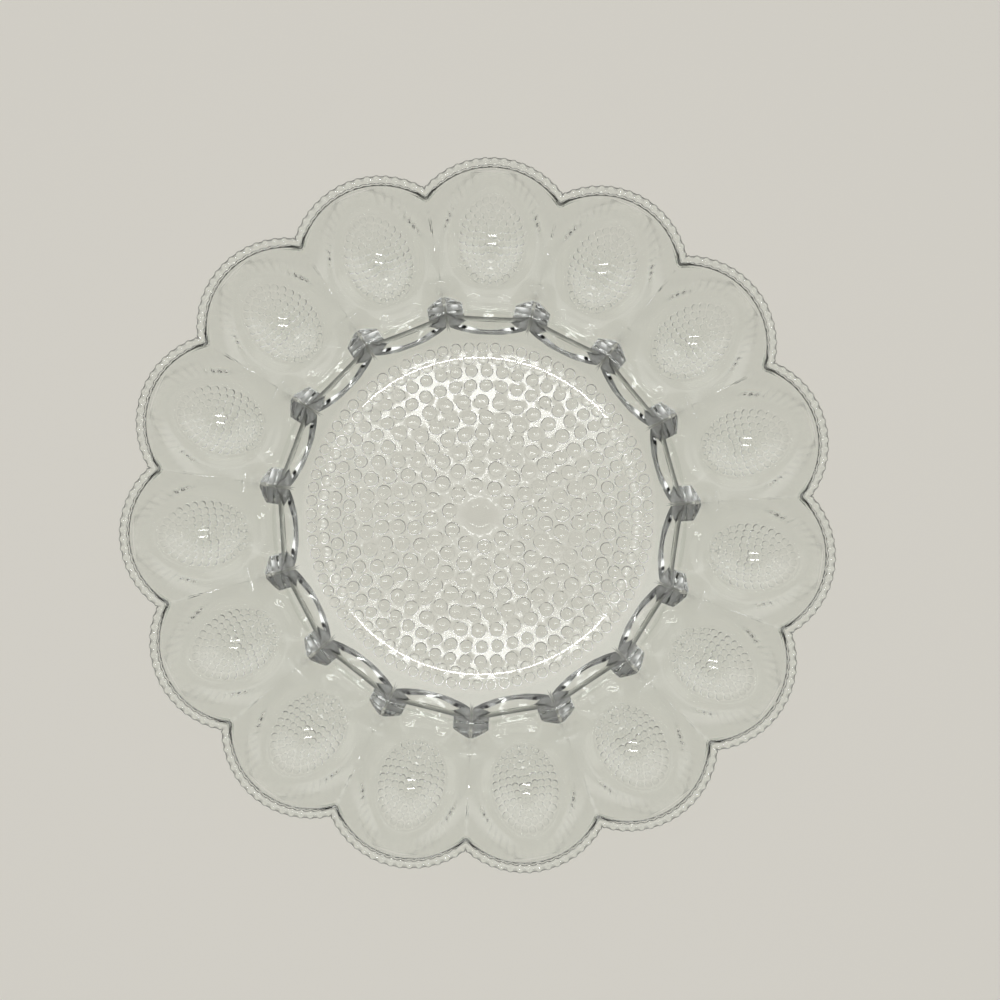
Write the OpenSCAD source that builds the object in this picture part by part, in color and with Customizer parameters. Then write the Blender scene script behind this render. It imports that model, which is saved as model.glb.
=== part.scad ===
// Pressed glass platter for stuffed eggs: a round dish in the middle and a ring of egg wells round it.
// The origin is the centre of the plane that the platter stands on, +Z is up, and one well lies on +Y.

/* [Platter] */
// Diameter over the tips of the scallops
platter_d = 280; // [264:1:300]
// Height from the table to the top of the rim
platter_h = 25; // [24:0.5:30]
// Number of egg wells and scallops
well_count = 15; // [14:1:16]
// Glass left under the deepest point of a well
well_floor_t = 4.2; // [3:0.1:5]

/* [Middle dish] */
// Radius of the flat part of the dish
dish_flat_r = 61.4; // [58:0.2:62]
// Thickness of the dish
dish_t = 3.6; // [3:0.1:4.5]
// Height of the underside of the dish above the table
dish_lift = 1; // [0.8:0.1:2]
// Radius of the hollow curve that lifts the dish's wall
dish_wall_r = 24; // [22:0.5:26]
// Steepest slope of the dish's wall, in degrees
dish_wall_slope = 48; // [42:1:52]
// Radius of the round crest between the dish and the wells
crest_r = 4; // [3:0.2:5]

/* [Hobnails] */
// Radius of the innermost ring of hobnails
hob_first_r = 13.4; // [12:0.2:14]
// Distance from one ring of hobnails to the next
hob_ring_step = 6.6; // [6.2:0.1:7]
// Diameter of a hobnail in the inner rings
hob_d = 5.8; // [4:0.1:6]
// Diameter of a hobnail in the outer rings
hob_small_d = 4.3; // [3:0.1:4.4]
// Distance between the outer rings
hob_small_step = 5; // [4.8:0.1:5.4]
// Number of inner rings
hob_ring_count = 7; // [4:1:7]
// Diameter of the middle button
button_d = 14; // [10:0.5:16]
// Height of a hobnail
hob_h = 0.8; // [0.4:0.1:0.8]

/* [Egg wells] */
// Distance from the platter's axis to the middle of a well
well_r = 108; // [106:0.5:109]
// Half of the length of a well's egg shape
well_half_len = 25; // [22:0.5:26]
// Radius of a well's egg shape across its length
well_b = 21; // [20:0.2:22]
// Radius of the ends of a well's egg shape
well_end_r = 15; // [13:0.2:16]
// Thickness of the wall of a well
well_t = 4.5; // [4:0.1:5]
// Radius at which the underside of a well begins, seen from the axis
pad_in_r = 74; // [73:0.2:76]
// Radius of the rounded lower edge there
pad_edge_r = 7; // [5:0.5:8]

/* [Flare and rim] */
// Radius of a scallop of the rim
scallop_r = 35; // [33:0.5:36]
// Width of the beaded edge
bead_band_w = 2.8; // [2.4:0.1:3.4]
// Number of beads on a scallop
bead_count = 16; // [10:1:20]
// Diameter of a bead
bead_d = 3.5; // [3:0.1:3.8]
// Diameter of the round edge that carries the beads
edge_d = 2.8; // [2.4:0.1:3]
// Vertical thickness of the flare
flare_t = 3; // [2.6:0.1:3.6]
// Height of the deck that the flare springs from
deck_z = 13.4; // [13:0.1:14]
// Rise of the deck from the well to the foot of the flare
deck_rise = 1.8; // [1:0.1:2.4]
// Radius of the inner end of the deck, about the scallop's axis
deck_in_r = 16; // [15:0.2:17]
// Radius of the foot of the flare, about the scallop's axis
flare_in_r = 24; // [23:0.2:25]
// Thickness of the deck
deck_t = 4; // [3.4:0.1:4.6]
// Rise of the ridges from the crest to where they sharpen
ridge_rise = 1.4; // [1:0.1:2]
// Length of that rise, along the radius
ridge_run = 12.5; // [10:0.5:14]

/* [Hidden] */
$fn = 96;
pitch = 360 / well_count;
// How far a cutting shape runs past what it cuts
cut_over = 1;
// Gap between neighbouring hobnails
hob_gap = 0.2;
// Share of a hobnail's full dome that its flat tip leaves off
hob_tip_cut = 0.35;
// Height of the flare's outer end above the middle of the round edge
lip_rise = 0.7;

wall_centre_z = dish_lift + dish_t + dish_wall_r;
wall_end_r = dish_flat_r + dish_wall_r * sin(dish_wall_slope);
wall_end_z = wall_centre_z - dish_wall_r * cos(dish_wall_slope);
crest_mid_r = wall_end_r + crest_r * sin(dish_wall_slope);
crest_z = wall_end_z + crest_r * (1 - cos(dish_wall_slope));
crest_centre_z = crest_z - crest_r;

well_axis_z = well_floor_t + well_b;
skin_b = well_b + well_t;
scallop_axis_r = platter_d / 2 - scallop_r;
edge_ring_r = scallop_r - bead_d / 2;
edge_z = platter_h - bead_d / 2;
flare_out_r = scallop_r - bead_band_w;
flare_out_z = edge_z + lip_rise;
flare_slope = (flare_out_z - deck_z - deck_rise) / (flare_out_r - flare_in_r);
flare_past_r = flare_out_r + cut_over;
flare_past_z = flare_out_z + cut_over * flare_slope;
deck_out_z = deck_z + deck_rise;
pad_x = well_r - pad_in_r;
ridge_r = crest_mid_r + ridge_run;
ridge_z = crest_z + ridge_rise;
ridge_fade_r = ridge_r + crest_r;
// Half of the angle that a scallop spans about its own axis, and the beads' share of it
notch_angle = pitch / 2 + asin(scallop_axis_r * sin(pitch / 2) / scallop_r);
bead_angle = 2 * notch_angle / bead_count;

cup_names = [for (i = [1:well_count]) str("egg_cup_", i < 10 ? "0" : "", i)];
bead_names = [for (i = [1:well_count]) str("rim_bead_", i < 10 ? "0" : "", i)];

// Number of hobnails that fit on a ring
function hobs_on(r, d) = floor(2 * PI * r / (d + hob_gap));

// Places of the things that repeat round the platter: well 1 lies on +Y
module at_well(i) {
    rotate([0, 0, 90 - (i - 1) * pitch]) children();
}

// Sector of one well, from an inner to an outer radius
module sector(r_in, r_out) {
    reach = r_out / cos(pitch / 2);
    difference() {
        linear_extrude(height = platter_h + cut_over)
            polygon([[0, 0], [reach * cos(pitch / 2), -reach * sin(pitch / 2)],
                     [reach * cos(pitch / 2), reach * sin(pitch / 2)]]);
        translate([0, 0, -cut_over])
            cylinder(r = r_in, h = platter_h + 4 * cut_over);
    }
}

// Half outline of an egg: ends of radius end_r joined by one large arc to the radius b
module egg_outline(half_len, b, end_r) {
    end_y = half_len - end_r;
    side_r = (end_y * end_y / (b - end_r) + end_r + b) / 2;
    side_x = b - side_r;
    far_y = end_y * (b + cut_over - side_x) / -side_x;
    intersection() {
        translate([0, -half_len]) square([b, 2 * half_len]);
        union() {
            translate([0, end_y]) circle(r = end_r);
            translate([0, -end_y]) circle(r = end_r);
            intersection() {
                translate([side_x, 0]) circle(r = side_r);
                polygon([[side_x, 0], [b + cut_over, -far_y], [b + cut_over, far_y]]);
            }
        }
    }
}

// An egg lying along the radius, its middle at the middle of a well
module lying_egg(half_len, b, end_r) {
    translate([well_r, 0, well_axis_z])
        rotate([0, 90, 0])
            rotate_extrude()
                egg_outline(half_len, b, end_r);
}

// The blunt inner end of a well's underside
module pad_barrel() {
    translate([well_r, 0, well_axis_z])
        rotate([0, -90, 0])
            rotate_extrude() {
                square([skin_b, pad_x - pad_edge_r]);
                square([skin_b - pad_edge_r, pad_x]);
                translate([skin_b - pad_edge_r, pad_x - pad_edge_r]) circle(r = pad_edge_r);
            }
}

// What the underside of a well fills before it is hollowed out
module well_body() {
    lying_egg(well_half_len + well_t, skin_b, well_end_r + well_t);
    pad_barrel();
}

// The middle of a scallop, about its own upright axis
module at_scallop() {
    translate([scallop_axis_r, 0, 0]) children();
}

module flare_body() {
    at_scallop() rotate_extrude()
        polygon([[0, deck_z - deck_t], [deck_in_r, deck_z - deck_t], [flare_in_r, deck_out_z - deck_t],
                 [flare_past_r, flare_past_z - flare_t], [flare_past_r, platter_h], [0, platter_h]]);
}

module flare_hollow() {
    at_scallop() rotate_extrude()
        polygon([[0, deck_z], [deck_in_r, deck_z], [flare_in_r, deck_out_z], [flare_past_r, flare_past_z],
                 [flare_past_r, platter_h + cut_over], [0, platter_h + cut_over]]);
}

// Everything below the top of the dish, the crest and the ridges
module below_crest() {
    rotate_extrude() {
        difference() {
            square([crest_mid_r, crest_z - crest_r * (1 - cos(dish_wall_slope))]);
            dish_section();
        }
        translate([crest_mid_r, crest_centre_z]) circle(r = crest_r);
        polygon([[crest_mid_r, 0], [platter_d / 2, 0], [platter_d / 2, platter_h], [ridge_fade_r, platter_h],
                 [ridge_r, ridge_z], [crest_mid_r, crest_z]]);
    }
}

// The hollow of the dish: a flat and a curve that rises to the crest
module dish_section() {
    dish_z = dish_lift + dish_t;
    translate([0, dish_z]) square([dish_flat_r, platter_h]);
    intersection() {
        translate([dish_flat_r, wall_centre_z]) circle(r = dish_wall_r);
        translate([dish_flat_r, dish_z]) square([wall_end_r - dish_flat_r, platter_h]);
    }
}

// Section of the dish's wall, which follows the same curve
module dish_wall_section() {
    difference() {
        intersection() {
            translate([dish_flat_r, wall_centre_z]) circle(r = dish_wall_r + dish_t);
            translate([dish_flat_r, 0]) square([crest_mid_r - dish_flat_r, crest_z]);
        }
        dish_section();
        difference() {
            translate([wall_end_r, wall_end_z]) square([crest_mid_r - wall_end_r, crest_r]);
            translate([crest_mid_r, crest_centre_z]) circle(r = crest_r);
        }
    }
}

module centre_floor() {
    color([0.86, 0.88, 0.85, 0.6])
        translate([0, 0, dish_lift])
            cylinder(r = dish_flat_r, h = dish_t);
}

// A hobnail is a low dome that hangs under the floor, its tip cut flat
module hobnail(d) {
    dome_h = hob_h * (1 + hob_tip_cut);
    dome_r = (d * d / 4 + dome_h * dome_h) / (2 * dome_h);
    intersection() {
        translate([0, 0, dish_lift - dome_h + dome_r]) sphere(r = dome_r, $fn = 24);
        translate([0, 0, dish_lift - hob_h]) cylinder(d = d + hob_gap, h = hob_h, $fn = 24);
    }
}

module hobnail_ring(r, d) {
    count = hobs_on(r, d);
    for (k = [0:count - 1])
        rotate([0, 0, k * 360 / count]) translate([r, 0, 0]) hobnail(d);
}

module centre_hobnails() {
    last_r = hob_first_r + (hob_ring_count - 1) * hob_ring_step;
    color([0.82, 0.84, 0.82, 0.7]) {
        hobnail(button_d);
        for (k = [0:hob_ring_count - 1]) hobnail_ring(hob_first_r + k * hob_ring_step, hob_d);
        if (last_r + hob_small_step + hob_d / 2 < dish_flat_r)
            hobnail_ring(last_r + hob_small_step + hob_gap, hob_small_d);
    }
}

module gallery_ring() {
    color([0.78, 0.81, 0.79, 0.6])
        difference() {
            union() {
                rotate_extrude() dish_wall_section();
                intersection() {
                    union() {
                        for (i = [1:well_count]) at_well(i) pad_barrel();
                    }
                    below_crest();
                    cylinder(r = crest_mid_r, h = platter_h);
                }
            }
            translate([0, 0, -cut_over]) cylinder(r = dish_flat_r, h = platter_h);
        }
}

module egg_cup(i) {
    color([0.84, 0.86, 0.83, 0.6])
        at_well(i)
            difference() {
                intersection() {
                    union() {
                        well_body();
                        flare_body();
                    }
                    sector(crest_mid_r, platter_d / 2);
                    below_crest();
                    at_scallop() inside_beads();
                }
                lying_egg(well_half_len, well_b, well_end_r);
                flare_hollow();
            }
}

// Turn of bead k about the scallop's axis, counted from one notch to the other
function bead_turn(k) = (k + 0.5 - bead_count / 2) * bead_angle;

// What lies inside the beads of a scallop: its outline has one flat from each bead to the next
module inside_beads() {
    corner_r = flare_out_r / cos(bead_angle / 2);
    corners = [for (k = [-1:bead_count]) [corner_r * cos(bead_turn(k)), corner_r * sin(bead_turn(k))]];
    linear_extrude(height = platter_h + cut_over)
        polygon(concat(corners, [[-scallop_axis_r, corners[bead_count + 1].y], [-scallop_axis_r, corners[0].y]]));
}

// Round edge of a scallop: straight from bead to bead, each bead a ball on it
module bead_string() {
    core_r = edge_ring_r * cos(bead_angle / 2);
    step = 2 * edge_ring_r * sin(bead_angle / 2);
    for (k = [-1:bead_count - 1])
        rotate([0, 0, bead_turn(k + 0.5)])
            translate([core_r, -step / 2, edge_z]) rotate([-90, 0, 0]) cylinder(d = edge_d, h = step);
    for (k = [0:bead_count - 1])
        rotate([0, 0, bead_turn(k)]) translate([edge_ring_r, 0, edge_z]) sphere(d = bead_d);
}

module rim_bead(i) {
    color([0.8, 0.83, 0.8, 0.7])
        at_well(i)
            intersection() {
                at_scallop()
                    difference() {
                        bead_string();
                        inside_beads();
                    }
                sector(crest_mid_r, platter_d / 2 + cut_over);
            }
}

centre_floor();
centre_hobnails();
gallery_ring();
for (i = [1:well_count]) egg_cup(i);
for (i = [1:well_count]) rim_bead(i);
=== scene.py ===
import math

import bmesh
import bpy
import numpy as np
from mathutils import Matrix, Vector
from mathutils.geometry import delaunay_2d_cdt


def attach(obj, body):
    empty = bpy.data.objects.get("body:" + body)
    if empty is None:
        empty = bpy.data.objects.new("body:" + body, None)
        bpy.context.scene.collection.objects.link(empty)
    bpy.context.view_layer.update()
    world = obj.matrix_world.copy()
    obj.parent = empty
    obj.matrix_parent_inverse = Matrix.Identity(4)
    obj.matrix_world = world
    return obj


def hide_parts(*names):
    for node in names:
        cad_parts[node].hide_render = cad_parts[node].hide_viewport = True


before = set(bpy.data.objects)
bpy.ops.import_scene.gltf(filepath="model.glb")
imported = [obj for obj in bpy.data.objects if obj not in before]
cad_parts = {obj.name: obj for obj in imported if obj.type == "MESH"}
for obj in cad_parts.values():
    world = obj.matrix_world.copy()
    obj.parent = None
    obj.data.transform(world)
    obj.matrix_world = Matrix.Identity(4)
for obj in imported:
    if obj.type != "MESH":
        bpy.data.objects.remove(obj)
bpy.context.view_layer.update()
print("frame loaded")

wellCount = 15
pitch = math.radians(360 / wellCount)
half = pitch / 2
farUp = 60.0  # stands for no surface, above all of the platter


# Heights are worked out in millimetres, in the frame of one well: x along its radius, y across it.
def softMin(a, b, width):
    h = np.clip(0.5 + 0.5 * (b - a) / width, 0, 1)
    return b * (1 - h) + a * h - width * h * (1 - h)


def softMax(a, b, width):
    return -softMin(-a, -b, width)


def smooth(x, low, high):
    t = np.clip((x - low) / (high - low), 0, 1)
    return t * t * (3 - 2 * t)


dish = {
    "flatR": 61.4, "lift": 1.0, "thick": 3.6, "wallR": 24.0, "slope": 48.0,
    "crestR": 4.0, "crestRun": 12.5, "crestFall": 2.2, "underTo": 96.0,
    "edgeR": 71.5, "sag": 1.8, "sagPower": 1.2, "satinFrom": 61.5, "satinTo": 64.6,
    # rows of points on the top, closer together on the curve, and the points in a row
    "rowsR": [3, 8, 16, 26, 36, 46, 55, 60, 61.4, 62.6, 63.8, 65, 66.2, 67.4, 68.6, 69.7, 70.7],
    "fewTo": 10, "few": 24, "someTo": 56, "some": 120, "many": 360,
}
slope = math.radians(dish["slope"])
wallMidZ = dish["lift"] + dish["thick"] + dish["wallR"]
wallEndR = dish["flatR"] + dish["wallR"] * math.sin(slope)
wallEndZ = wallMidZ - dish["wallR"] * math.cos(slope)
crestMidR = wallEndR + dish["crestR"] * math.sin(slope)
crestZ = wallEndZ + dish["crestR"] * (1 - math.cos(slope))

well = {
    "midR": 108.0, "axisZ": 25.2, "sideR": 26.333, "endR": 15.0, "endX": 10.0, "joinX": 23.24,
    "sideHalf": 21.0, "joinShare": 0.88, "leastRound": 0.01, "roundTurn": (88, 94), "roundOn": (78, 84),
    "skin": 4.5, "mouthRound": 1.3, "sink": 0.3, "flatHalf": 6.0, "flatOn": (74, 86), "flatOff": (86, 95),
    "barrelIn": 74.0, "barrelEdge": 6.0, "barrelHalf": 25.5, "creaseRound": 0.8, "creaseOn": (79, 82),
    "padX": 110.5, "padA": 19.6, "padB": 14.6, "padLift": 0.75,
    "padStep": (0.985, 1.015, 1.045), "padClear": (1.1, 1.3),
    "sillX": 91.3, "sillRun": 2.4, "sillHalf": 9.5, "sillH": 0.3, "sillOn": (84.0, 86.5), "sillSoft": 1.5,
    "innerRound": 5.0, "restRound": 0.5,
}
crevice = {
    "halfGap": 0.15, "slope": 1.35, "roofZ": 10.1, "endR": 86.0, "endSlope": 1.6, "foot": 0.5,
    # steep, shadeEnds and below say where the painted shade lies on the steep undersides
    "opens": (85.5, 89.0), "closes": (108, 118), "open": 7.0, "steep": (0.66, 0.80),
    "seamGap": 0.4, "shadeEnds": (83.5, 86.5), "below": 1.5,
}
scallop = {
    "axisR": 105.0, "r": 35.0, "seamR": 31.3, "ringR": 33.25, "ringZ": 23.25, "ballR": 1.69, "neckR": 1.34,
    "beads": 16, "deckZ": 13.4, "deckR": 16.0, "deckSlope": 0.225, "footR": 24.0, "footZ": 15.2,
    "flareSlope": 1.067, "footRound": 2.5, "deckT": 4.0, "underSlope": 1.189,
    "fluteDepth": 0.2, "fluteOn": (21, 24), "fluteOff": (29.6, 31), "fluteSide": (104, 110),
    "fluteLift": (1, 4), "endRound": 2.5, "endOn": (120, 127), "ridgeRound": 0.9, "crestRound": 1.6,
    "lipR": 32.2, "lipUnderR": 31.9, "lipFall": 3.0, "lipRound": 0.25, "grooveRound": 0.1,
    "ballFloor": 0.2, "neckRound": 0.12,
}
notchAngle = half + math.asin(scallop["axisR"] * math.sin(half) / scallop["r"])
beadAngle = 2 * notchAngle / scallop["beads"]


def dishTop(r):
    k = np.clip(r - dish["flatR"], 0, dish["wallR"] * math.sin(slope))
    bowl = dish["sag"] * (1 - np.minimum(r / dish["edgeR"], 1) ** 2) ** dish["sagPower"]
    return wallMidZ - np.sqrt(dish["wallR"] ** 2 - k * k) - bowl


def dishUnder(r):
    outer = dish["wallR"] + dish["thick"]
    k = np.clip(r - dish["flatR"], 0, crestMidR - dish["flatR"])
    return wallMidZ - np.sqrt(outer ** 2 - k * k)


def crestTop(r):
    over = np.clip(crestMidR - r, 0, dish["crestR"] * math.sin(slope))
    ball = crestZ - dish["crestR"] + np.sqrt(dish["crestR"] ** 2 - over ** 2)
    z = np.where(r < wallEndR, dishTop(r), ball)
    return z + np.maximum(r - crestMidR - dish["crestRun"], 0) * dish["crestFall"]


def flareTop(rho):
    deck = scallop["deckZ"] + np.maximum(rho - scallop["deckR"], 0) * scallop["deckSlope"]
    cone = scallop["footZ"] + (rho - scallop["footR"]) * scallop["flareSlope"]
    return softMax(deck, cone, scallop["footRound"])


def flareUnder(rho):
    deck = scallop["deckZ"] + np.maximum(rho - scallop["deckR"], 0) * scallop["deckSlope"]
    cone = scallop["footZ"] + (rho - scallop["footR"]) * scallop["underSlope"]
    return softMax(deck, cone, scallop["footRound"]) - scallop["deckT"]


def axisDistances(x, y):
    own = np.hypot(x - scallop["axisR"], y)
    other = np.hypot(x - scallop["axisR"] * math.cos(pitch), np.abs(y) - scallop["axisR"] * math.sin(pitch))
    return own, other


def eggHalf(u, grow=0.0):
    # half width of the lying egg at a distance u from its middle
    side = np.sqrt(np.maximum((well["sideR"] + grow) ** 2 - u * u, 0)) - (well["sideR"] - well["sideHalf"])
    end = np.sqrt(np.maximum((well["endR"] + grow) ** 2 - (u - well["endX"]) ** 2, 0))
    return np.where(u < well["joinX"] + grow * well["joinShare"], side, end)


def wellTop(x, y):
    q = eggHalf(np.abs(x - well["midR"]))
    inside = np.abs(y) < q
    return np.where(inside, well["axisZ"] - np.sqrt(np.maximum(q * q - y * y, 0)), farUp)


def topZ(x, y):
    r = np.hypot(x, y)
    own, other = axisDistances(x, y)
    flare = softMin(flareTop(own), flareTop(other), scallop["ridgeRound"])
    z = softMin(crestTop(r), flare, scallop["crestRound"])
    mouth = well["innerRound"] + (well["mouthRound"] - well["innerRound"]) * smooth(r, *well["roundTurn"])
    return softMin(z, wellTop(x, y), mouth * smooth(r, *well["roundOn"]) + well["leastRound"])


def barrelUnder(x, y):
    # underside of a well: a barrel with a blunt inner end, an egg at the outer end
    b = well["barrelHalf"]
    k = np.clip(well["barrelIn"] + well["barrelEdge"] - x, 0, well["barrelEdge"])
    q = b - well["barrelEdge"] + np.sqrt(well["barrelEdge"] ** 2 - k * k)
    q = np.where(x > well["midR"], eggHalf(np.abs(x - well["midR"]), well["skin"]), q)
    q = np.where(x < well["barrelIn"], 0, q)
    inside = np.abs(y) < q
    flat = well["flatHalf"] * smooth(x, *well["flatOn"]) * (1 - smooth(x, *well["flatOff"]))
    s = np.maximum(np.abs(y) - flat, 0) * q / np.maximum(q - flat, 1)
    return np.where(inside, b - well["sink"] - np.sqrt(np.maximum(q * q - s * s, 0)), farUp)


def creviceUnder(x, y):
    # steep sides of the crevice between the inner ends of two wells
    r = np.hypot(x, y)
    gap = np.abs(np.abs(y) * math.cos(half) - x * math.sin(half))
    roof = np.minimum(dishUnder(r), crevice["roofZ"])
    side = roof - np.maximum(gap - crevice["halfGap"], 0) * crevice["slope"]
    return side - np.maximum(r - crevice["endR"], 0) * crevice["endSlope"]


def wellUnder(x, y):
    return softMax(barrelUnder(x, y), creviceUnder(x, y), crevice["foot"])


def padEdge(x, y):
    # 1 on the rim of the oval field of hobnails, less inside
    return np.hypot((x - well["padX"]) / well["padA"], y / well["padB"])


def underZ(x, y):
    r = np.hypot(x, y)
    own, other = axisDistances(x, y)
    flare = softMin(flareUnder(own), flareUnder(other), scallop["ridgeRound"])
    turn = np.arctan2(y, x - scallop["axisR"])
    wave = np.cos(turn / beadAngle * 2 * math.pi)
    roof = np.where(r < dish["underTo"], dishUnder(r), farUp)
    z = softMin(flare, roof, scallop["crestRound"])
    valley = smooth(r, *crevice["opens"]) * (1 - smooth(r, *crevice["closes"]))
    crease = well["creaseRound"] + (crevice["open"] - well["creaseRound"]) * valley
    crease = crease + scallop["endRound"] * smooth(x, *scallop["endOn"])
    z = softMin(z, wellUnder(x, y), crease)
    z = softMax(z, np.zeros_like(z), well["restRound"])
    edge = padEdge(x, y)
    flutes = smooth(own, *scallop["fluteOn"]) * (1 - smooth(own, *scallop["fluteOff"]))
    flutes = flutes * smooth(x, *scallop["fluteSide"]) * smooth(z, *scallop["fluteLift"])
    z = z + scallop["fluteDepth"] * wave * flutes * smooth(edge, *well["padClear"])
    step = 1 - smooth(edge, well["padStep"][0], well["padStep"][-1])
    z = z + well["padLift"] * step
    # a straight shoulder across the inner end of the well
    inner = 1 - smooth(x, well["sillX"] - well["sillRun"] / 2, well["sillX"] + well["sillRun"] / 2)
    across = 1 - smooth(np.abs(y), well["sillHalf"] - well["sillSoft"], well["sillHalf"] + well["sillSoft"])
    return z + well["sillH"] * inner * across * smooth(x, *well["sillOn"])


def galleryUnder(r, turn):
    x, y = r * np.cos(turn), r * np.sin(turn)
    crease = well["leastRound"] + well["creaseRound"] * smooth(r, *well["creaseOn"])
    return softMax(softMin(dishUnder(r), wellUnder(x, y), crease), np.zeros_like(r), well["restRound"])


def galleryPlan(x, y):
    return galleryUnder(np.hypot(x, y), np.arctan2(y, x))


def slopeNormal(height, x, y, up):
    d = 0.02
    gx = (height(x + d, y) - height(x - d, y)) / (2 * d)
    gy = (height(x, y + d) - height(x, y - d)) / (2 * d)
    n = np.stack([-gx, -gy, np.ones_like(gx)], 1)
    n /= np.linalg.norm(n, axis=1)[:, None]
    return n if up else -n


# Meshing of a sheet: points in the plan, triangles between them.
def trianglesOf(points, loop):
    out = delaunay_2d_cdt([Vector(p) for p in points], [], [loop], 1, 1e-6, False)
    if len(out[0]) != len(points):
        raise ValueError("the plan has points that fall together")
    return [tuple(f) for f in out[2]]


rowShare = 0.866  # distance between the rows of a grid of even triangles


def hexGrid(low, high, step):
    rows = int((high[1] - low[1]) / (step * rowShare)) + 2
    cols = int((high[0] - low[0]) / step) + 2
    pts = []
    for j in range(rows):
        for i in range(cols):
            pts.append((low[0] + (i + 0.5 * (j % 2)) * step, low[1] + j * step * rowShare))
    return np.array(pts)


def keepInside(points, loop, gap):
    # points inside the closed outline and at least gap from it
    a, b = loop, np.roll(loop, -1, 0)
    inside = np.zeros(len(points), bool)
    near = np.full(len(points), 1e9)
    px, py = points[:, 0], points[:, 1]
    for (ax, ay), (bx, by) in zip(a, b):
        crosses = (ay > py) != (by > py)
        run = by - ay if by != ay else 1e-12
        inside ^= crosses & (px < (bx - ax) * (py - ay) / run + ax)
        ux, uy = bx - ax, by - ay
        t = np.clip(((px - ax) * ux + (py - ay) * uy) / (ux * ux + uy * uy), 0, 1)
        near = np.minimum(near, np.hypot(px - ax - t * ux, py - ay - t * uy))
    return points[inside & (near > gap)]


def clearOf(points, centres, radii, gap):
    keep = np.ones(len(points), bool)
    for (cx, cy), r in zip(centres, radii):
        keep &= np.hypot(points[:, 0] - cx, points[:, 1] - cy) > r + gap
    return points[keep]


domeRings = (0.3, 0.58, 0.82, 0.92, 1.0)
fullDome = (0.977, 0.914, 0.825, 0.56, 0.0)
lowDome = (0.91, 0.664, 0.36, 0.17, 0.0)


def domePoints(centres, radii, sides, shares):
    # rings of points for each dome, with the share of the dome's height at each
    pts, share, rims, owner = [], [], [], []
    for i, ((cx, cy), r) in enumerate(zip(centres, radii)):
        pts.append((cx, cy))
        share.append(1.0)
        owner += [i] * (1 + sides * len(domeRings))
        for s, level in zip(domeRings, shares):
            first = len(pts)
            for k in range(sides):
                a = 2 * math.pi * (k + 0.5) / sides
                pts.append((cx + r * s * math.cos(a), cy + r * s * math.sin(a)))
                share.append(level)
            if s == 1.0:
                rims.append((first, sides))
    return np.array(pts), np.array(share), rims, np.array(owner)


class Sheets:
    # a closed piece from a top and an under sheet that share one outline in the plan
    def __init__(self):
        self.bm = bmesh.new()
        self.normals = {}

    def addSheet(self, xy, z, tris, owner=None, field=None):
        verts = [self.bm.verts.new((p[0], p[1], h)) for p, h in zip(xy, z)]
        for a, b, c in tris:
            face = self.bm.faces.new((verts[a], verts[b], verts[c]))
            face.smooth = True
            if owner is not None and field[a] and field[b] and field[c]:
                if owner[a] < 0 or owner[a] != owner[b] or owner[b] != owner[c]:
                    face.material_index = 2
        return verts

    def addWall(self, upper, lower):
        for k in range(len(upper)):
            m = (k + 1) % len(upper)
            face = self.bm.faces.new((upper[k], upper[m], lower[m], lower[k]))
            face.material_index = 1

    def markRims(self, verts, rims, offset):
        for first, sides in rims:
            for k in range(sides):
                a = verts[offset + first + k]
                b = verts[offset + first + (k + 1) % sides]
                edge = self.bm.edges.get((a, b))
                if edge:
                    edge.smooth = False

    def finish(self, name):
        bm = self.bm
        bmesh.ops.recalc_face_normals(bm, faces=bm.faces[:])
        for e in bm.edges:
            if any(f.material_index == 1 for f in e.link_faces):
                e.smooth = False
        bm.verts.index_update()
        given = {v.index: n for v, n in self.normals.items()}
        mesh = bpy.data.meshes.new(name)
        bm.to_mesh(mesh)
        bm.free()
        return mesh, given


def setNormals(mesh, given):
    # the surface's own slope on a seam, so that two pieces meet without a line
    loops = np.zeros((len(mesh.loops), 3))
    for poly in mesh.polygons:
        if poly.material_index == 1:
            continue
        for li in poly.loop_indices:
            n = given.get(mesh.loops[li].vertex_index)
            if n is not None:
                loops[li] = n
    mesh.normals_split_custom_set([tuple(n) for n in loops])


def turned(mesh, name, angle):
    # a copy of a one-well mesh, turned to its own well
    copy = mesh.copy()
    copy.name = name
    copy.transform(Matrix.Rotation(angle, 4, "Z"))
    return copy


def addObject(mesh, name, materials):
    obj = bpy.data.objects.new(name, mesh)
    bpy.context.scene.collection.objects.link(obj)
    for m in materials:
        mesh.materials.append(m)
    return obj


# Glass: one recipe for all the pieces, and clear faces where two pieces meet.
glassLook = {
    "dishTint": (0.975, 0.985, 0.962), "cupTint": (0.92, 0.94, 0.912), "shade": (0.985, 0.99, 0.983),
    "roughness": 0.035, "ior": 1.5, "webRough": 0.15,
    # colour, roughness and clearness of the painted shade on the steep undersides, and the ray depth it shows
    # to
    "paintedShadeRough": 0.5, "paintedShadeTint": (0.08, 0.085, 0.08), "paintedShadeClear": 0.8, "firstHits": 1.5,
    "waveScale": 95.0, "waveHeight": 0.00006, "grainScale": 900.0, "grainHeight": 0.000004,
}


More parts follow.
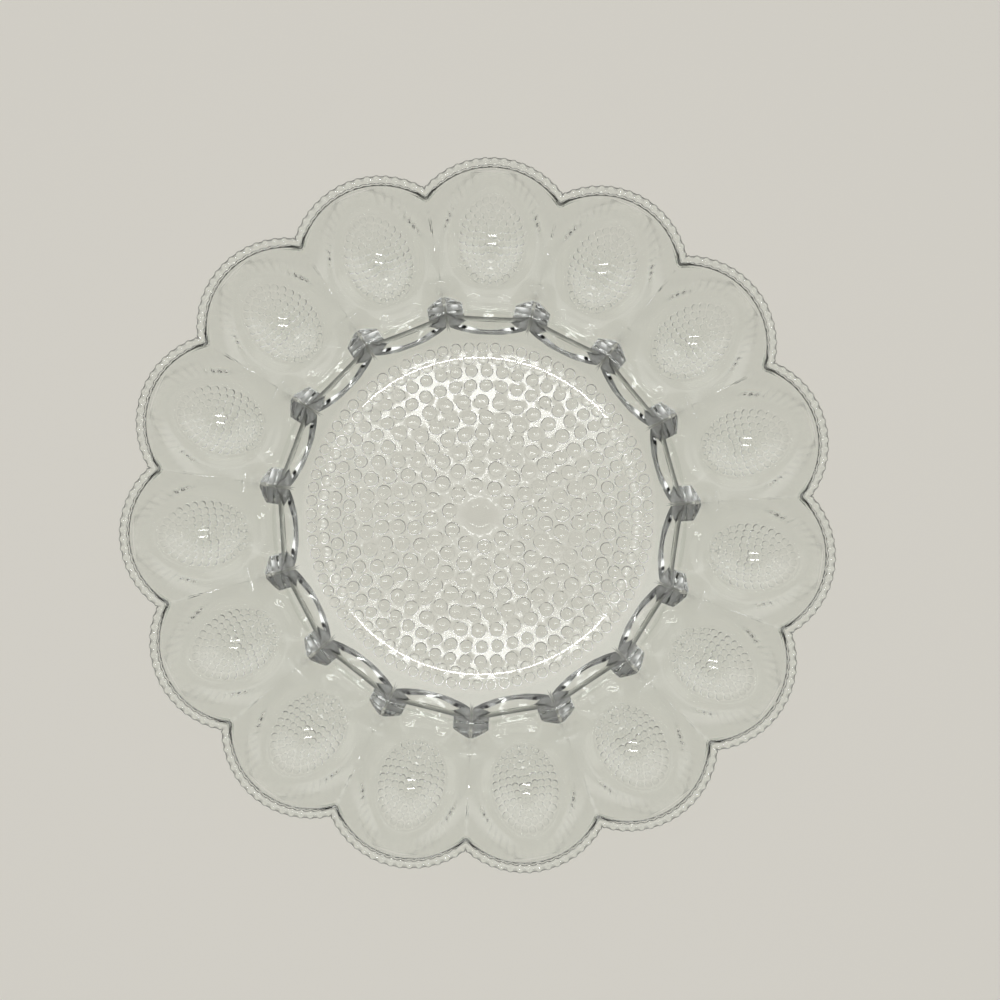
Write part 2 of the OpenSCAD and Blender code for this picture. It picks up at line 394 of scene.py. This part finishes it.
def makeWaves():
    # the slow waves of pressed glass and its fine grain, as one normal
    group = bpy.data.node_groups.new("glassWaves", "ShaderNodeTree")
    group.interface.new_socket("Waves", in_out="INPUT", socket_type="NodeSocketFloat")
    group.interface.new_socket("Grain", in_out="INPUT", socket_type="NodeSocketFloat")
    group.interface.new_socket("Normal", in_out="OUTPUT", socket_type="NodeSocketVector")
    given = group.nodes.new("NodeGroupInput")
    result = group.nodes.new("NodeGroupOutput")
    coord = group.nodes.new("ShaderNodeTexCoord")
    normal = None
    for word, height, detail in (("wave", "Waves", 2.0), ("grain", "Grain", 1.0)):
        noise = group.nodes.new("ShaderNodeTexNoise")
        noise.inputs["Scale"].default_value = glassLook[word + "Scale"]
        noise.inputs["Detail"].default_value = detail
        bump = group.nodes.new("ShaderNodeBump")
        group.links.new(coord.outputs["Object"], noise.inputs["Vector"])
        group.links.new(noise.outputs["Fac"], bump.inputs["Height"])
        group.links.new(given.outputs[height], bump.inputs["Distance"])
        if normal:
            group.links.new(normal, bump.inputs["Normal"])
        normal = bump.outputs["Normal"]
    group.links.new(normal, result.inputs["Normal"])
    return group


glassWaves = makeWaves()


def makeGlass(name, tint, rough, waves=1.0, grain=1.0):
    mat = bpy.data.materials.new(name)
    mat.use_nodes = True
    nt = mat.node_tree
    nt.nodes.clear()
    out = nt.nodes.new("ShaderNodeOutputMaterial")
    body = nt.nodes.new("ShaderNodeBsdfPrincipled")
    body.inputs["Base Color"].default_value = (*glassLook[tint], 1)
    body.inputs["Roughness"].default_value = glassLook[rough]
    body.inputs["IOR"].default_value = glassLook["ior"]
    body.inputs["Transmission Weight"].default_value = 1.0
    surface = nt.nodes.new("ShaderNodeGroup")
    surface.node_tree = glassWaves
    surface.inputs["Waves"].default_value = glassLook["waveHeight"] * waves
    surface.inputs["Grain"].default_value = glassLook["grainHeight"] * grain
    nt.links.new(surface.outputs["Normal"], body.inputs["Normal"])
    clear = nt.nodes.new("ShaderNodeBsdfTransparent")
    clear.inputs["Color"].default_value = (*glassLook["shade"], 1)
    path = nt.nodes.new("ShaderNodeLightPath")
    either = nt.nodes.new("ShaderNodeMath")
    either.operation = "MAXIMUM"
    mix = nt.nodes.new("ShaderNodeMixShader")
    nt.links.new(path.outputs["Is Shadow Ray"], either.inputs[0])
    nt.links.new(path.outputs["Is Diffuse Ray"], either.inputs[1])
    nt.links.new(either.outputs[0], mix.inputs[0])
    nt.links.new(body.outputs[0], mix.inputs[1])
    nt.links.new(clear.outputs[0], mix.inputs[2])
    nt.links.new(mix.outputs[0], out.inputs["Surface"])
    return mat


def makeSeam():
    mat = bpy.data.materials.new("seam")
    mat.use_nodes = True
    nt = mat.node_tree
    nt.nodes.clear()
    out = nt.nodes.new("ShaderNodeOutputMaterial")
    clear = nt.nodes.new("ShaderNodeBsdfTransparent")
    nt.links.new(clear.outputs[0], out.inputs["Surface"])
    return mat


clearGlass = makeGlass("clearGlass", "cupTint", "roughness")
dishGlass = makeGlass("dishGlass", "dishTint", "roughness", waves=0.3)
beadGlass = makeGlass("beadGlass", "cupTint", "roughness", waves=0.5, grain=1.5)
webGlass = makeGlass("webGlass", "dishTint", "webRough")


def addCreviceShade(mat):
    # painted shade: the steep sides of the crevices and of the step trap the light, so a dark share is
    # painted in by the mask "steep"
    nt = mat.node_tree
    body = nt.nodes["Principled BSDF"]
    dark = nt.nodes.new("ShaderNodeBsdfPrincipled")
    dark.inputs["Base Color"].default_value = (*glassLook["paintedShadeTint"], 1)
    dark.inputs["Roughness"].default_value = glassLook["paintedShadeRough"]
    dark.inputs["IOR"].default_value = glassLook["ior"]
    dark.inputs["Transmission Weight"].default_value = glassLook["paintedShadeClear"]
    mask = nt.nodes.new("ShaderNodeAttribute")
    mask.attribute_name = "steep"
    mix = nt.nodes.new("ShaderNodeMixShader")
    target = body.outputs[0].links[0].to_socket
    # the painted shade shows only where they are seen straight through the top of the glass
    path = nt.nodes.new("ShaderNodeLightPath")
    first = nt.nodes.new("ShaderNodeMath")
    first.operation = "LESS_THAN"
    first.inputs[1].default_value = glassLook["firstHits"]
    share = nt.nodes.new("ShaderNodeMath")
    share.operation = "MULTIPLY"
    nt.links.new(path.outputs["Ray Depth"], first.inputs[0])
    nt.links.new(first.outputs[0], share.inputs[0])
    nt.links.new(mask.outputs["Fac"], share.inputs[1])
    nt.links.new(share.outputs[0], mix.inputs[0])
    nt.links.new(body.outputs[0], mix.inputs[1])
    nt.links.new(dark.outputs[0], mix.inputs[2])
    nt.links.new(mix.outputs[0], target)


def addSteepShadeMask(mesh, under):
    # the share of painted shade, from how steep the underside is near the crest, from 0 to 1, on every vertex
    co = np.zeros(len(mesh.vertices) * 3)
    mesh.vertices.foreach_get("co", co)
    co = co.reshape(-1, 3)
    r = np.hypot(co[:, 0], co[:, 1])
    turn = np.arctan2(co[:, 1], co[:, 0]) - (math.pi / 2 if under is galleryPlan else 0)
    turn = (turn + half) % pitch - half
    # the slope beside a seam, not that of the fold on it
    near = half - crevice["seamGap"] / r
    turn = np.clip(turn, -near, near)
    x, y = r * np.cos(turn), r * np.sin(turn)
    lean = -slopeNormal(under, x, y, False)[:, 2]
    mask = (1 - smooth(lean, *crevice["steep"])) * (1 - smooth(r, *crevice["shadeEnds"]))
    mask = np.where(co[:, 2] < topZ(x, y) - crevice["below"], mask, 0)
    mesh.attributes.new("steep", "FLOAT", "POINT").data.foreach_set("value", mask.astype(np.float32))


# painted shade on the upright outer side of the beads: its most, by height on the bead, and how far out it
# starts
rimShade = {"most": 0.75, "lifts": (0.5, 0.85), "out": 0.5}


def addRimShadeMask(mesh):
    # painted shade on the outer side of the beads, which stands upright
    values = []
    for v in mesh.vertices:
        out = math.hypot(v.co.x - scallop["axisR"], v.co.y) - scallop["ringR"]
        lift = abs(v.co.z - scallop["ringZ"]) / scallop["ballR"]
        upright = 1 - float(smooth(lift, *rimShade["lifts"]))
        values.append(rimShade["most"] * upright if out > rimShade["out"] else 0.0)
    mesh.attributes.new("steep", "FLOAT", "POINT").data.foreach_set("value", np.array(values, np.float32))


# painted shade on the glass of the cups, the gallery and the beads
addCreviceShade(clearGlass)
addCreviceShade(beadGlass)
seamClear = makeSeam()

# Columns round one well's sector, shared by the dish, the gallery and the cups
sectorCols = 48
fullCols = sectorCols * wellCount
turns = np.linspace(-half, half, sectorCols + 1)


def arcPoints(radius, count):
    a = np.arange(count) * 2 * math.pi / count
    # well 1 lies on +Y, so columns start half a sector past it
    a = a + math.pi / 2 - half
    return np.stack([radius * np.cos(a), radius * np.sin(a)], 1)


# Dish floor with its rings of hobnails underneath
hobs = {
    "ringR": [12.6, 20.2, 26.8, 33.5, 40.1, 46.6, 53.2, 59.0, 64.0, 68.7],
    "count": [10, 16, 22, 29, 36, 40, 53, 59, 69, 80],
    "size": [6.2, 6.4, 6.4, 6.4, 6.3, 6.3, 5.5, 5.3, 4.9, 4.5],
    "height": 0.6, "buttonD": 14.0, "sides": 12, "firstTurn": 0.5, "widest": 0.97,
    "fillFrom": 7.6, "fillTo": 71.0, "fillStep": 1.3, "lastRing": 70.9, "clear": 0.45,
    "websTo": 70.5,
}


def buildDish():
    sheets = Sheets()
    rim = arcPoints(dish["edgeR"], fullCols)
    loop = list(range(fullCols))
    pts = [rim]
    for r in dish["rowsR"]:
        count = dish["many"]
        if r < dish["someTo"]:
            count = dish["few"] if r < dish["fewTo"] else dish["some"]
        pts.append(arcPoints(r, count))
    xy = np.concatenate(pts)
    z = dishTop(np.hypot(xy[:, 0], xy[:, 1]))
    top = sheets.addSheet(xy, z, trianglesOf(xy, loop))
    upper = set(sheets.bm.faces)
    # under side with the domes
    centres, radii, heights = [(0.0, 0.0)], [hobs["buttonD"] / 2], [hobs["height"]]
    for r, count, size in zip(hobs["ringR"], hobs["count"], hobs["size"]):
        for k in range(count):
            a = 2 * math.pi * k / count + hobs["firstTurn"]
            centres.append((r * math.cos(a), r * math.sin(a)))
            radii.append(min(size, 2 * math.pi * r / count * hobs["widest"]) / 2)
            heights.append(hobs["height"])
    domes, share, rims, owner = domePoints(centres, radii, hobs["sides"], fullDome)
    fill = []
    for r in np.arange(hobs["fillFrom"], hobs["fillTo"], hobs["fillStep"]):
        fill.append(arcPoints(r, int(2 * math.pi * r / hobs["fillStep"])))
    fill.append(arcPoints(hobs["lastRing"], dish["many"]))
    fill = clearOf(np.concatenate(fill), centres, radii, hobs["clear"])
    xy = np.concatenate([rim, domes, fill])
    r = np.hypot(xy[:, 0], xy[:, 1])
    z = dishUnder(r)
    z[fullCols:fullCols + len(domes)] -= share * hobs["height"]
    whose = np.full(len(xy), -1)
    whose[fullCols:fullCols + len(domes)] = owner
    under = sheets.addSheet(xy, z, trianglesOf(xy, loop), whose, r < hobs["websTo"])
    # the bend into the wall is satin underneath, and shows no sharp streak of light
    for face in sheets.bm.faces:
        out = face.calc_center_median().to_2d().length
        if face not in upper and dish["satinFrom"] < out < dish["satinTo"]:
            face.material_index = 2
    sheets.markRims(under, rims, fullCols)
    sheets.addWall(top[:fullCols], under[:fullCols])
    a = np.arctan2(rim[:, 1], rim[:, 0])
    k = dish["edgeR"] - dish["flatR"]
    for verts, radius, sign in ((top, dish["wallR"], 1), (under, dish["wallR"] + dish["thick"], -1)):
        rise = k / math.sqrt(radius ** 2 - k * k)
        for i in range(fullCols):
            n = np.array([-rise * math.cos(a[i]), -rise * math.sin(a[i]), 1.0])
            sheets.normals[verts[i]] = sign * n / np.linalg.norm(n)
    return sheets.finish("dishFloor")


gallery = {
    "inRows": 9, "outRows": 30, "topRows": 30,
    "searchIn": 0.005, "searchOut": 0.2, "halvings": 30,
}


def creaseRadius(turn):
    # where the blunt end of a well meets the underside of the dish
    low = well["barrelIn"] / math.cos(turn) + gallery["searchIn"]
    high = crestMidR - gallery["searchOut"]
    for _ in range(gallery["halvings"]):
        mid = (low + high) / 2
        r = np.array([mid])
        x, y = r * math.cos(turn), r * math.sin(turn)
        if wellUnder(x, y)[0] < dishUnder(r)[0]:
            high = mid
        else:
            low = mid
    return high


def buildGallery():
    sheets = Sheets()
    bm = sheets.bm
    crease = [creaseRadius(t) for t in turns[:-1]]
    topRs = np.linspace(dish["edgeR"], crestMidR, gallery["topRows"] + 1)
    cols = []
    for w in range(wellCount):
        mid = math.pi / 2 + w * pitch
        for k in range(sectorCols):
            t = turns[k]
            a = mid + t
            rc = crease[k]
            underRs = np.concatenate([
                np.linspace(dish["edgeR"], rc, gallery["inRows"] + 1)[:-1],
                np.linspace(rc, crestMidR, gallery["outRows"] + 1)])
            zTop = topZ(topRs * math.cos(t), topRs * math.sin(t))
            zUnder = galleryUnder(underRs, t)
            upper = [bm.verts.new((r * math.cos(a), r * math.sin(a), z)) for r, z in zip(topRs, zTop)]
            lower = [bm.verts.new((r * math.cos(a), r * math.sin(a), z)) for r, z in zip(underRs, zUnder)]
            cols.append((upper, lower, t, a))
    n = len(cols)
    for i in range(n):
        u0, l0 = cols[i][:2]
        u1, l1 = cols[(i + 1) % n][:2]
        for strip0, strip1 in ((u0, u1), (l0, l1)):
            for j in range(len(strip0) - 1):
                face = bm.faces.new((strip0[j], strip0[j + 1], strip1[j + 1], strip1[j]))
                face.smooth = True
        for end in (0, -1):
            face = bm.faces.new((u0[end], u1[end], l1[end], l0[end]))
            face.material_index = 1
        edge = bm.edges.get((l0[gallery["inRows"]], l1[gallery["inRows"]]))
        edge.smooth = False
    for upper, lower, t, a in cols:
        for verts, radius, sign in ((upper, dish["wallR"], 1), (lower, dish["wallR"] + dish["thick"], -1)):
            k = dish["edgeR"] - dish["flatR"]
            rise = k / math.sqrt(radius ** 2 - k * k)
            nrm = np.array([-rise * math.cos(a), -rise * math.sin(a), 1.0])
            sheets.normals[verts[0]] = sign * nrm / np.linalg.norm(nrm)
        x, y = crestMidR * math.cos(t), crestMidR * math.sin(t)
        turn = Matrix.Rotation(a - t, 3, "Z")
        xs, ys = np.array([x]), np.array([y])
        sheets.normals[upper[-1]] = np.array(turn @ Vector(slopeNormal(topZ, xs, ys, True)[0]))
        sheets.normals[lower[-1]] = np.array(turn @ Vector(slopeNormal(underZ, xs, ys, False)[0]))
    return sheets.finish("galleryRing")


cup = {
    "rowStep": 0.42, "rowsTo": 91.5, "seamTo": 127.0, "innerGaps": (0.16,), "outerGaps": (0.3, 0.75),
    "fromRows": 0.2, "fromSeam": 1.15, "pastSeam": 0.3, "edgeShare": 0.55, "clear": 0.28,
    "padRing": 110, "padFree": (0.965, 1.065), "websIn": 0.99,
    "seamRows": 110, "edgeCols": 128, "step": 0.8, "underStep": 0.8, "domeD": 2.95, "domeH": 0.7,
    "domeSides": 12,
}


def seamTurn(rho):
    # turn about the scallop's axis at which a circle of that radius meets the seam
    return half + math.asin(scallop["axisR"] * math.sin(half) / rho)


def cupOutline():
    inner = [(crestMidR * math.cos(t), crestMidR * math.sin(t)) for t in turns]
    endR = scallop["axisR"] * math.cos(half) + math.sqrt(
        scallop["seamR"] ** 2 - (scallop["axisR"] * math.sin(half)) ** 2)
    seam = np.linspace(crestMidR, endR, cup["seamRows"] + 1)[1:-1]
    left = [(r * math.cos(half), r * math.sin(half)) for r in seam]
    right = [(r * math.cos(half), -r * math.sin(half)) for r in seam[::-1]]
    end = seamTurn(scallop["seamR"])
    arc = []
    for k in range(cup["edgeCols"] + 1):
        a = end - 2 * end * k / cup["edgeCols"]
        arc.append((scallop["axisR"] + scallop["seamR"] * math.cos(a), scallop["seamR"] * math.sin(a)))
    return np.array(inner + left + arc + right)


pad = {
    "pitch": 3.08, "firstPitch": 3.35, "inset": 1.75, "ringStep": 2.85, "leastA": 1.5,
    "leastB": 0.8, "endGap": 0.6, "samples": 721,
}


def padCentres():
    # hobnails in nested ovals
    centres = []
    a, b = well["padA"] - pad["inset"], well["padB"] - pad["inset"]
    ring = 0
    while b > pad["leastB"]:
        t = np.linspace(0, 2 * math.pi, pad["samples"])
        x, y = a * np.cos(t), b * np.sin(t)
        s = np.concatenate([[0], np.cumsum(np.hypot(np.diff(x), np.diff(y)))])
        count = max(1, int(round(s[-1] / (pad["pitch"] if ring else pad["firstPitch"]))))
        for k in range(count):
            at = (k + 0.5 * (ring % 2)) / count * s[-1]
            centres.append((well["padX"] + float(np.interp(at, s, x)), float(np.interp(at, s, y))))
        a -= pad["ringStep"]
        b -= pad["ringStep"]
        ring += 1
    if a > pad["leastA"]:
        ends = a - pad["endGap"]
        for x in np.linspace(-ends, ends, max(1, int(a * 2 / pad["pitch"]))):
            centres.append((well["padX"] + x, 0.0))
    return centres


def polarFill(low, high, step):
    # rows round the platter's axis, on the columns of the gallery
    rows = [(r * math.cos(t), r * math.sin(t)) for r in np.arange(low, high, step) for t in turns[1:-1]]
    near = []
    for first, last, gaps in ((low, high, cup["innerGaps"]), (high, cup["seamTo"], cup["outerGaps"])):
        for r in np.arange(first, last, step):
            for gap in gaps:
                t = half - gap / r
                near += [(r * math.cos(t), r * math.sin(t)), (r * math.cos(t), -r * math.sin(t))]
    return np.array(rows + near)


def awayFromRows(points):
    r = np.hypot(points[:, 0], points[:, 1])
    gap = points[:, 0] * math.sin(half) - np.abs(points[:, 1]) * math.cos(half)
    beyond = (gap > cup["fromSeam"]) | (r > cup["seamTo"] + cup["pastSeam"])
    return points[(r > cup["rowsTo"] + cup["fromRows"]) & beyond]


def buildCup():
    sheets = Sheets()
    outline = cupOutline()
    count = len(outline)
    loop = list(range(count))
    low, high = outline.min(0), outline.max(0)
    rows = polarFill(crestMidR + cup["rowStep"], cup["rowsTo"], cup["rowStep"])
    fill = keepInside(hexGrid(low, high, cup["step"]), outline, cup["step"] * cup["edgeShare"])
    fill = awayFromRows(fill)
    xy = np.concatenate([outline, fill, rows])
    top = sheets.addSheet(xy, topZ(xy[:, 0], xy[:, 1]), trianglesOf(xy, loop))
    centres = padCentres()
    radii = [cup["domeD"] / 2] * len(centres)
    domes, share, rims, owner = domePoints(centres, radii, cup["domeSides"], lowDome)
    fill = keepInside(hexGrid(low, high, cup["underStep"]), outline, cup["underStep"] * cup["edgeShare"])
    fill = awayFromRows(fill)
    fill = clearOf(np.concatenate([fill, rows]), centres, radii, cup["clear"])
    # close rings hold the step at the rim of the oval
    t = np.arange(cup["padRing"]) * 2 * math.pi / cup["padRing"]
    rings = []
    for s in well["padStep"]:
        rings.append(np.stack([well["padX"] + well["padA"] * s * np.cos(t), well["padB"] * s * np.sin(t)], 1))
    edge = padEdge(fill[:, 0], fill[:, 1])
    fill = fill[(edge < cup["padFree"][0]) | (edge > cup["padFree"][1])]
    xy = np.concatenate([outline, domes, fill] + rings)
    z = underZ(xy[:, 0], xy[:, 1])
    z[count:count + len(domes)] -= share * cup["domeH"]
    whose = np.full(len(xy), -1)
    whose[count:count + len(domes)] = owner
    under = sheets.addSheet(xy, z, trianglesOf(xy, loop), whose, padEdge(xy[:, 0], xy[:, 1]) < cup["websIn"])
    sheets.markRims(under, rims, count)
    sheets.addWall(top[:count], under[:count])
    up = slopeNormal(topZ, outline[:, 0], outline[:, 1], True)
    down = slopeNormal(underZ, outline[:, 0], outline[:, 1], False)
    for i in range(count):
        sheets.normals[top[i]] = up[i]
        sheets.normals[under[i]] = down[i]
    print("hobnails under a well:", len(centres))
    return sheets.finish("eggCup")


def beadRadius(turn):
    s = ((turn / beadAngle + 0.5) % 1 - 0.5) * beadAngle * scallop["ringR"]
    ball = np.sqrt(np.maximum(scallop["ballR"] ** 2 - s * s, scallop["ballFloor"]))
    r = softMax(ball, np.full_like(ball, scallop["neckR"]), scallop["neckRound"])
    r = np.where(np.abs(turn) > notchAngle, scallop["neckR"], r)
    return np.minimum(r, scallop["ballR"])


def edgeTop(rho, radius):
    tube = scallop["ringZ"] + np.sqrt(np.maximum(radius ** 2 - (rho - scallop["ringR"]) ** 2, 0))
    tube = np.where(np.abs(rho - scallop["ringR"]) < radius, tube, 0)
    end = scallop["lipR"]
    lip = np.where(rho < end, flareTop(rho), flareTop(np.float64(end)) - (rho - end) * scallop["lipFall"])
    return softMax(tube, lip, scallop["lipRound"])


def edgeUnder(rho, radius):
    tube = scallop["ringZ"] - np.sqrt(np.maximum(radius ** 2 - (rho - scallop["ringR"]) ** 2, 0))
    tube = np.where(np.abs(rho - scallop["ringR"]) < radius, tube, farUp)
    lip = flareUnder(rho) + np.maximum(rho - scallop["lipUnderR"], 0) * scallop["lipFall"]
    return softMin(tube, lip, scallop["grooveRound"])


bead = {
    "inRhos": [31.3, 31.45, 31.6, 31.75, 31.9, 32.05, 32.2, 32.45, 32.7, 32.95, 33.25], "outRows": 14,
    "firstR": 1.4, "passes": 3,
}


def buildBeads():
    sheets = Sheets()
    bm = sheets.bm
    n = cup["edgeCols"]
    cols = []
    for k in range(n + 1):
        u = 1 - 2 * k / n
        column = []
        spots = [(rho, "top") for rho in bead["inRhos"]]
        spots += [(90 - 180 * j / bead["outRows"], "ball") for j in range(1, bead["outRows"])]
        spots += [(rho, "under") for rho in bead["inRhos"][::-1]]
        for value, kind in spots:
            rho = value
            if kind == "ball":
                rho = scallop["ringR"] + bead["firstR"] * math.cos(math.radians(value))
            # a bead's radius depends on the turn, and the turn on the radius
            for _ in range(bead["passes"]):
                turn = u * seamTurn(rho)
                radius = float(beadRadius(np.array([turn]))[0])
                if kind == "ball":
                    rho = scallop["ringR"] + radius * math.cos(math.radians(value))
            if kind == "top":
                z = float(edgeTop(np.float64(rho), radius))
            elif kind == "under":
                z = float(edgeUnder(np.float64(rho), radius))
            else:
                z = scallop["ringZ"] + radius * math.sin(math.radians(value))
            x = scallop["axisR"] + rho * math.cos(turn)
            y = rho * math.sin(turn)
            column.append(bm.verts.new((x, y, z)))
        cols.append(column)
    m = len(cols[0])
    for k in range(n):
        for j in range(m):
            face = bm.faces.new((cols[k][j], cols[k][(j + 1) % m], cols[k + 1][(j + 1) % m], cols[k + 1][j]))
            face.smooth = True
            if j == m - 1:
                face.material_index = 1
    for column in (cols[0], cols[-1]):
        face = bm.faces.new(column)
        face.material_index = 1
    row = np.array([[c[0].co.x, c[0].co.y] for c in cols])
    up = slopeNormal(topZ, row[:, 0], row[:, 1], True)
    down = slopeNormal(underZ, row[:, 0], row[:, 1], False)
    for k, column in enumerate(cols):
        sheets.normals[column[0]] = up[k]
        sheets.normals[column[-1]] = down[k]
    return sheets.finish("rimBeads")


def toMetres(mesh):
    mesh.transform(Matrix.Scale(0.001, 4))


pieces = []
mesh, given = buildDish()
toMetres(mesh)
setNormals(mesh, given)
floorPiece = addObject(mesh, "dish_floor", [dishGlass, seamClear, webGlass])
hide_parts("centre_floor", "centre_hobnails")
pieces.append(floorPiece)
print("dish floor", len(mesh.polygons))

mesh, given = buildGallery()
# where the gallery's glass gets painted shade
addSteepShadeMask(mesh, galleryPlan)
toMetres(mesh)
setNormals(mesh, given)
ringPiece = addObject(mesh, "gallery", [clearGlass, seamClear])
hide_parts("gallery_ring")
pieces.append(ringPiece)
print("gallery", len(mesh.polygons))

cupMesh, cupNormals = buildCup()
# where the cup's glass gets painted shade
addSteepShadeMask(cupMesh, underZ)
toMetres(cupMesh)
print("cup", len(cupMesh.polygons))
beadMesh, beadNormals = buildBeads()
# where the beads' glass gets painted shade
addRimShadeMask(beadMesh)
toMetres(beadMesh)
print("beads", len(beadMesh.polygons))
for i in range(wellCount):
    angle = math.pi / 2 - i * pitch
    turn = Matrix.Rotation(angle, 3, "Z")
    for mesh, normals, word, glass, node in (
            (cupMesh, cupNormals, "cup", clearGlass, "egg_cup_%02d"),
            (beadMesh, beadNormals, "beads", beadGlass, "rim_bead_%02d")):
        own = turned(mesh, "%s_%02d" % (word, i + 1), angle)
        setNormals(own, {k: np.array(turn @ Vector(v)) for k, v in normals.items()})
        obj = addObject(own, "%s_%02d" % (word, i + 1), [glass, seamClear, webGlass])
        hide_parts(node % (i + 1))
        pieces.append(obj)
for obj in pieces:
    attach(obj, "root")
print("pieces placed")

# Paper, light and camera
setting = {
    "paper": (0.856, 0.826, 0.754), "paperSize": 1.1, "paperDrop": 0.0002, "paperRough": 0.9,
    "paperShine": 0.1, "sky": 1.8, "skyLow": 0.03, "overhead": 0.12, "nearSide": 0.15,
    "wallsLit": (0.15, 0.5), "topDims": (0.80, 0.96), "farSideLit": (-0.25, 0.3),
    "stripLight": 34.0, "stripHeight": 1.6, "stripWide": 0.46, "stripDeep": 0.05,
    "strips": {"stripFar": (-0.028, 0.169), "stripNear": (-0.018, -0.231)},
}
bpy.ops.mesh.primitive_plane_add(size=setting["paperSize"], location=(0, 0, -setting["paperDrop"]))
paper = bpy.context.object
paper.name = "paper"
paperLook = bpy.data.materials.new("paper")
paperLook.use_nodes = True
nt = paperLook.node_tree
body = nt.nodes["Principled BSDF"]
body.inputs["Base Color"].default_value = (*setting["paper"], 1)
body.inputs["Roughness"].default_value = setting["paperRough"]
body.inputs["Specular IOR Level"].default_value = setting["paperShine"]
paper.data.materials.append(paperLook)

world = bpy.data.worlds.new("room")
bpy.context.scene.world = world
world.use_nodes = True
nt = world.node_tree
nt.nodes.clear()
out = nt.nodes.new("ShaderNodeOutputWorld")
back = nt.nodes.new("ShaderNodeBackground")
coord = nt.nodes.new("ShaderNodeTexCoord")
split = nt.nodes.new("ShaderNodeSeparateXYZ")
nt.links.new(coord.outputs["Generated"], split.inputs[0])
strength = None
# light from half way up the walls, dark at the horizon, overhead and on the near side
for axis, (fromLow, fromHigh), toLow, toHigh in (
        ("Z", setting["wallsLit"], setting["skyLow"], setting["sky"]),
        ("Z", setting["topDims"], 1.0, setting["overhead"]),
        ("Y", setting["farSideLit"], setting["nearSide"], 1.0)):
    ramp = nt.nodes.new("ShaderNodeMapRange")
    ramp.interpolation_type = "SMOOTHSTEP"
    for word, value in (("From Min", fromLow), ("From Max", fromHigh), ("To Min", toLow), ("To Max", toHigh)):
        ramp.inputs[word].default_value = value
    nt.links.new(split.outputs[axis], ramp.inputs["Value"])
    if strength is None:
        strength = ramp.outputs[0]
        continue
    times = nt.nodes.new("ShaderNodeMath")
    times.operation = "MULTIPLY"
    nt.links.new(strength, times.inputs[0])
    nt.links.new(ramp.outputs[0], times.inputs[1])
    strength = times.outputs[0]
nt.links.new(strength, back.inputs["Strength"])
nt.links.new(back.outputs[0], out.inputs["Surface"])


def softBox(name, x, y):
    width, depth = setting["stripWide"], setting["stripDeep"]
    light = bpy.data.lights.new(name, "AREA")
    light.shape = "RECTANGLE"
    light.size = width
    light.size_y = depth
    light.energy = setting["stripLight"] * math.pi * width * depth
    obj = bpy.data.objects.new(name, light)
    bpy.context.scene.collection.objects.link(obj)
    obj.location = (x, y, setting["stripHeight"])


# the camera as fitted to the photograph: focal length and width in pixels, turns in degrees, shift in mm
cameraSet = {
    "focal": 1200.0, "pixels": 1000, "sensor": 36, "clip": 0.01,
    "turns": (-0.149, 0.523, -2.432), "shift": (-8.13, -6.55, 489.447),
}
camera = bpy.data.cameras.new("camera")
camera.lens = cameraSet["focal"] * cameraSet["sensor"] / cameraSet["pixels"]
camera.sensor_width = cameraSet["sensor"]
cameraObj = bpy.data.objects.new("camera", camera)
bpy.context.scene.collection.objects.link(cameraObj)
a, b, c = [math.radians(v) for v in cameraSet["turns"]]
spin = Matrix.Rotation(a, 3, "X") @ Matrix.Rotation(b, 3, "Y") @ Matrix.Rotation(c, 3, "Z")
tx, ty, tz = cameraSet["shift"]
place = -(spin.transposed() @ Vector((tx, ty, -tz))) / 1000
cameraObj.matrix_world = Matrix.LocRotScale(place, spin.transposed(), None)
camera.clip_start = cameraSet["clip"]
bpy.context.scene.camera = cameraObj
for name, (x, y) in setting["strips"].items():
    softBox(name, x, y)
bpy.context.scene.view_settings.view_transform = "Standard"
print("camera at", tuple(round(v, 4) for v in place))

bpy.context.view_layer.update()
